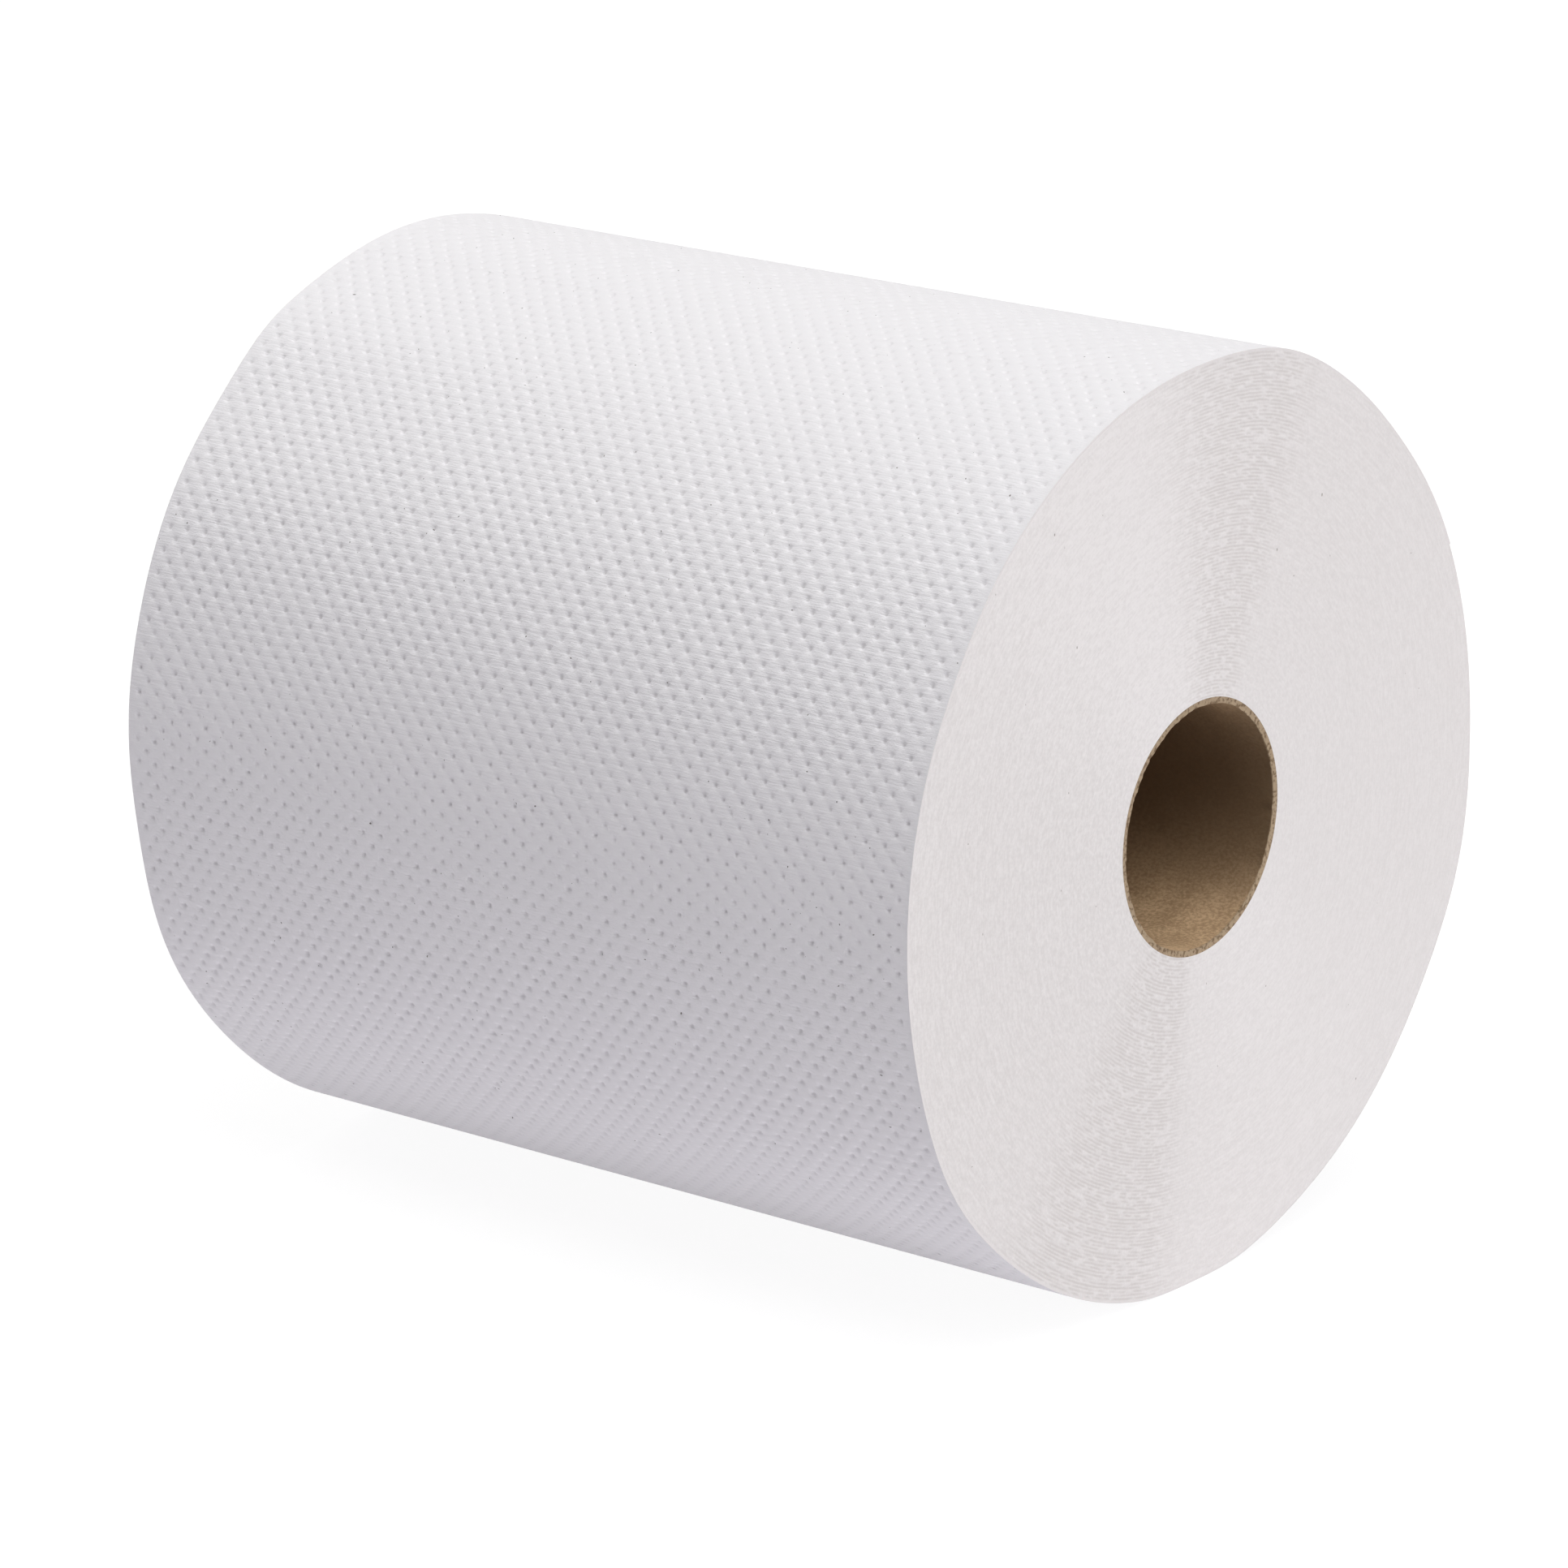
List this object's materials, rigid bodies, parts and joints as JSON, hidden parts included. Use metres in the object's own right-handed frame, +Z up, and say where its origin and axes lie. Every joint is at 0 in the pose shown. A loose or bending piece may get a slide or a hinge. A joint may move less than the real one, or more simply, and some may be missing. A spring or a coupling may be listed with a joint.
{
  "type": "paper towel roll",
  "caption": "Wide roll of white embossed paper towel wound on an open cardboard core, lying on its side on a small flat spot; it turns on a spindle through the core.",
  "frame": {"origin": "on the surface that the roll lies on, under the middle of its width, in the middle of its flat spot", "axes": "+X along the core, towards the end that the picture shows; +Z up; the web's loose end is on the +Y side"},
  "size_m": [0.203, 0.1937, 0.1932],
  "materials": {
    "core_board": "matte, unbleached board",
    "towel_paper": "matte, embossed with small dimples"
  },
  "bodies": {
    "root": {"cardboard_core": "core_board", "wound_paper": "towel_paper"}
  },
  "joints": []
}
